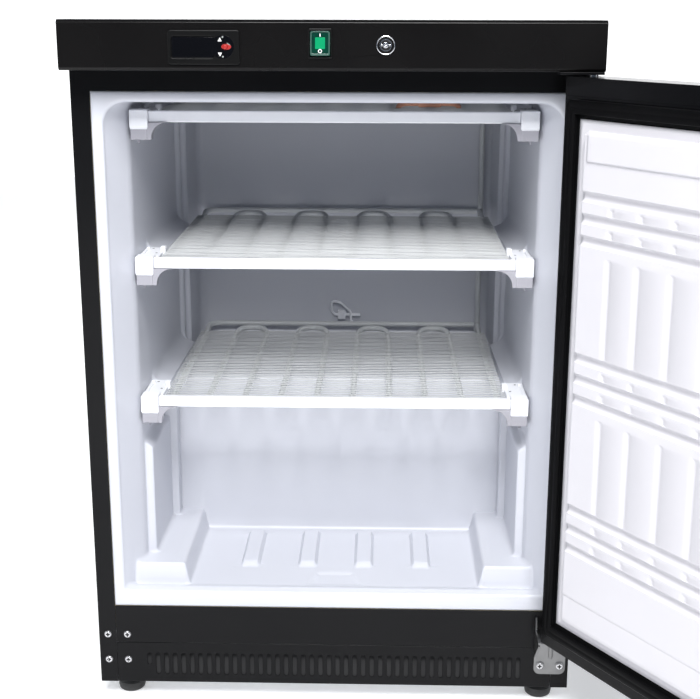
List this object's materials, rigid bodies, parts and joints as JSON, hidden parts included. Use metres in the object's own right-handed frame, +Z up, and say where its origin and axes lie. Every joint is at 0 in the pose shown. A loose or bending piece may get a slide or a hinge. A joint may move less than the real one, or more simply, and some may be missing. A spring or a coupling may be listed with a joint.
{
  "type": "under-counter freezer",
  "caption": "Black under-counter freezer, door open: white liner, fixed evaporator shelves, control panel over the door, levelling feet and a rear compressor bay.",
  "frame": {"origin": "centre of the closed cabinet's footprint, on the floor", "axes": "+Z up, +X to the right of someone facing the door, +Y towards the back"},
  "size_m": [0.9183, 1.0963, 0.855],
  "materials": {
    "black_steel": "satin",
    "galvanised_steel": "satin",
    "foam": "matte",
    "white_liner": "satin",
    "foot_plastic": "matte",
    "zinc_plate": "satin",
    "bright_screw": "gloss",
    "black_gloss": "gloss",
    "gasket_rubber": "matte",
    "bush_plastic": "satin",
    "panel_black": "satin",
    "case_black": "satin",
    "lens_black": "gloss",
    "key_dark": "satin",
    "key_red": "gloss",
    "rocker_green": "gloss",
    "lock_chrome": "gloss",
    "cam_steel": "satin",
    "shelf_white": "satin",
    "coated_wire": "satin",
    "probe_white": "satin",
    "pot_black": "satin",
    "cover_black": "matte",
    "bay_rubber": "matte",
    "condenser_black": "satin",
    "copper": "satin"
  },
  "bodies": {
    "cabinet": {"side_panel_left": "black_steel", "side_panel_right": "black_steel", "worktop": "black_steel", "back_panel": "galvanised_steel", "base_tray": "galvanised_steel", "bay_panel": "galvanised_steel", "bay_crossbar": "galvanised_steel", "top_rail": "black_steel", "lower_rail": "black_steel", "vent_grille": "black_steel", "cabinet_foam": "foam", "liner": "white_liner", "bottom_hinge_bracket": "zinc_plate", "top_hinge_bracket": "zinc_plate", "hinge_pins": "zinc_plate", "hinge_screws": "bright_screw", "spare_screws": "bright_screw", "fascia": "panel_black", "thermostat_case": "case_black", "thermostat_lens": "lens_black", "switch_bezel": "case_black", "lock_housing": "lock_chrome", "shelf_trim_top": "shelf_white", "shelf_trim_middle": "shelf_white", "shelf_trim_bottom": "shelf_white", "shelf_wires_top": "coated_wire", "shelf_wires_middle": "coated_wire", "shelf_wires_bottom": "coated_wire", "evaporator_top": "coated_wire", "evaporator_middle": "coated_wire", "evaporator_bottom": "coated_wire", "shelf_brackets_left": "shelf_white", "shelf_brackets_right": "shelf_white", "evaporator_riser": "coated_wire", "temperature_probe": "probe_white", "compressor": "pot_black", "terminal_cover": "cover_black", "compressor_grommets": "bay_rubber", "condenser": "condenser_black", "condenser_clips": "condenser_black", "filter_drier": "copper", "cord_gland": "bay_rubber"},
    "door": {"door_skin": "black_steel", "door_cap_top": "black_gloss", "door_cap_bottom": "black_gloss", "door_liner": "white_liner", "door_foam": "foam", "door_gasket": "gasket_rubber", "door_handle": "black_gloss", "hinge_bushes": "bush_plastic"},
    "lock_plug": {"lock_barrel": "lock_chrome", "lock_cam": "cam_steel"},
    "rocker": {"switch_rocker": "rocker_green"},
    "up_key": {"key_up": "key_dark"},
    "down_key": {"key_down": "key_dark"},
    "set_key": {"key_set": "key_red"},
    "front_left_foot": {"foot_front_left": "foot_plastic"},
    "front_right_foot": {"foot_front_right": "foot_plastic"},
    "rear_left_foot": {"foot_rear_left": "foot_plastic"},
    "rear_right_foot": {"foot_rear_right": "foot_plastic"}
  },
  "joints": [
    {"name": "door_hinge", "type": "hinge", "parent": "cabinet", "child": "door", "pos_m": [0.288, -0.288, 0.45], "axis": [0, 0, 1], "range_deg": [-123, 7]},
    {"name": "lock_turn", "type": "hinge", "parent": "cabinet", "child": "lock_plug", "pos_m": [0.06, -0.286, 0.8283], "axis": [0, 1, 0], "range_deg": [0, 90]},
    {"name": "switch_tilt", "type": "hinge", "parent": "cabinet", "child": "rocker", "pos_m": [-0.0115, -0.298, 0.8295], "axis": [1, 0, 0], "range_deg": [0, 16]},
    {"name": "up_key_press", "type": "slide", "parent": "cabinet", "child": "up_key", "axis": [0, 1, 0], "range_m": [0, 0.001], "stiffness_N_per_m": 300},
    {"name": "down_key_press", "type": "slide", "parent": "cabinet", "child": "down_key", "axis": [0, 1, 0], "range_m": [0, 0.001], "stiffness_N_per_m": 300},
    {"name": "set_key_press", "type": "slide", "parent": "cabinet", "child": "set_key", "axis": [0, 1, 0], "range_m": [0, 0.001], "stiffness_N_per_m": 300},
    {"name": "front_left_foot_level", "type": "slide", "parent": "cabinet", "child": "front_left_foot", "axis": [0, 0, -1], "range_m": [0, 0.015]},
    {"name": "front_right_foot_level", "type": "slide", "parent": "cabinet", "child": "front_right_foot", "axis": [0, 0, -1], "range_m": [0, 0.015]},
    {"name": "rear_left_foot_level", "type": "slide", "parent": "cabinet", "child": "rear_left_foot", "axis": [0, 0, -1], "range_m": [0, 0.015]},
    {"name": "rear_right_foot_level", "type": "slide", "parent": "cabinet", "child": "rear_right_foot", "axis": [0, 0, -1], "range_m": [0, 0.015]}
  ]
}
